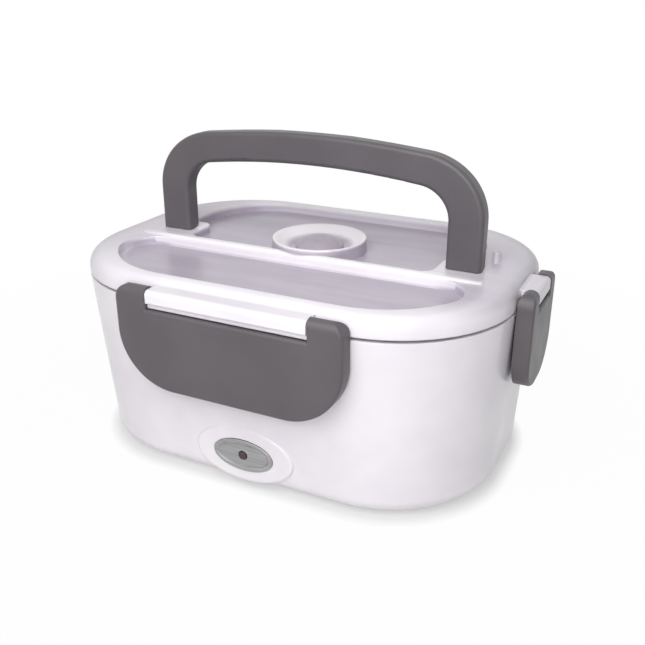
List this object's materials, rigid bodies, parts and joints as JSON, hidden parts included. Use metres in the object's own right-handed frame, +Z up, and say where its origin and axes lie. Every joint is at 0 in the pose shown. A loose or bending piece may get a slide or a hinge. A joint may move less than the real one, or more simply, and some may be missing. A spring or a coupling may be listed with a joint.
{
  "type": "electric lunch box",
  "caption": "Oblong heated lunch box with a lift-off lid held by clips, a fold-down arched handle, a steam plug and a steel food tray.",
  "frame": {"origin": "middle of the footprint, on the surface the feet stand on", "axes": "+X right along the long side, -Y to the front with the oval badge, +Z up"},
  "size_m": [0.2532, 0.1862, 0.1682],
  "materials": {
    "white_shell": "glossy white ABS",
    "white_lid": "glossy white polypropylene",
    "grey_parts": "satin grey polypropylene",
    "tub_plastic": "satin light grey polypropylene",
    "steel_tray": "satin stainless steel",
    "aluminium_plate": "rolled aluminium",
    "pan_steel": "zinc-plated sheet steel",
    "screw_steel": "zinc-plated steel",
    "pin_steel": "turned stainless steel",
    "badge_metal": "brushed nickel-grey plate",
    "lens_plastic": "dark red clear plastic",
    "mica": "pressed mica sheet",
    "black_plastic": "black flame-resistant plastic",
    "contact_brass": "nickel-brass contact",
    "board_laminate": "green circuit laminate",
    "wire_sleeve": "red silicone-sleeved wire",
    "fuse_body": "ceramic fuse body",
    "foot_rubber": "soft black rubber",
    "gasket_silicone": "light grey silicone",
    "plug_silicone": "grey silicone"
  },
  "bodies": {
    "body": {"outer_shell": "white_shell", "base_cover": "tub_plastic", "base_screws": "screw_steel", "rubber_feet": "foot_rubber", "inner_tub": "tub_plastic", "heating_plate": "aluminium_plate", "ptc_heaters": "aluminium_plate", "mica_insulator": "mica", "heater_pan": "pan_steel", "pan_screws": "screw_steel", "thermostat": "black_plastic", "thermal_fuse": "fuse_body", "power_inlet": "black_plastic", "inlet_contacts": "contact_brass", "badge_plate": "badge_metal", "indicator_lens": "lens_plastic", "indicator_board": "board_laminate", "wiring_harness": "wire_sleeve"},
    "lid": {"lid_shell": "white_lid", "lid_gasket": "gasket_silicone", "handle_pins": "pin_steel"},
    "handle": {"handle": "grey_parts"},
    "front_clip": {"clip_front": "grey_parts"},
    "right_clip": {"clip_right": "grey_parts"},
    "rear_clip": {"clip_rear": "grey_parts"},
    "left_clip": {"clip_left": "grey_parts"},
    "steam_plug": {"vent_plug": "plug_silicone"},
    "tray": {"food_tray": "steel_tray"}
  },
  "joints": [
    {"name": "lid_lift", "type": "slide", "parent": "body", "child": "lid", "axis": [0, 0, 1], "range_m": [0, 0.13]},
    {"name": "tray_lift", "type": "slide", "parent": "body", "child": "tray", "axis": [0, 0, 1], "range_m": [0, 0.065]},
    {"name": "handle_fold", "type": "hinge", "parent": "lid", "child": "handle", "pos_m": [0, 0, 0.113], "axis": [1, 0, 0], "range_deg": [-90, 0]},
    {"name": "front_clip_swing", "type": "hinge", "parent": "lid", "child": "front_clip", "pos_m": [0, -0.0889, 0.1023], "axis": [1, 0, 0], "range_deg": [-110, 0]},
    {"name": "right_clip_swing", "type": "hinge", "parent": "lid", "child": "right_clip", "pos_m": [0.1224, 0, 0.1023], "axis": [0, 1, 0], "range_deg": [-110, 0]},
    {"name": "rear_clip_swing", "type": "hinge", "parent": "lid", "child": "rear_clip", "pos_m": [0, 0.0889, 0.0976], "axis": [-1, 0, 0], "range_deg": [-110, 0]},
    {"name": "left_clip_swing", "type": "hinge", "parent": "lid", "child": "left_clip", "pos_m": [-0.1224, 0, 0.0976], "axis": [0, -1, 0], "range_deg": [-110, 0]},
    {"name": "steam_plug_pull", "type": "slide", "parent": "lid", "child": "steam_plug", "axis": [0, 0, 1], "range_m": [0, 0.012]}
  ],
  "couplings": [
    {"joint": "tray_lift", "follows": "lid_lift", "ratio": 0.5}
  ]
}
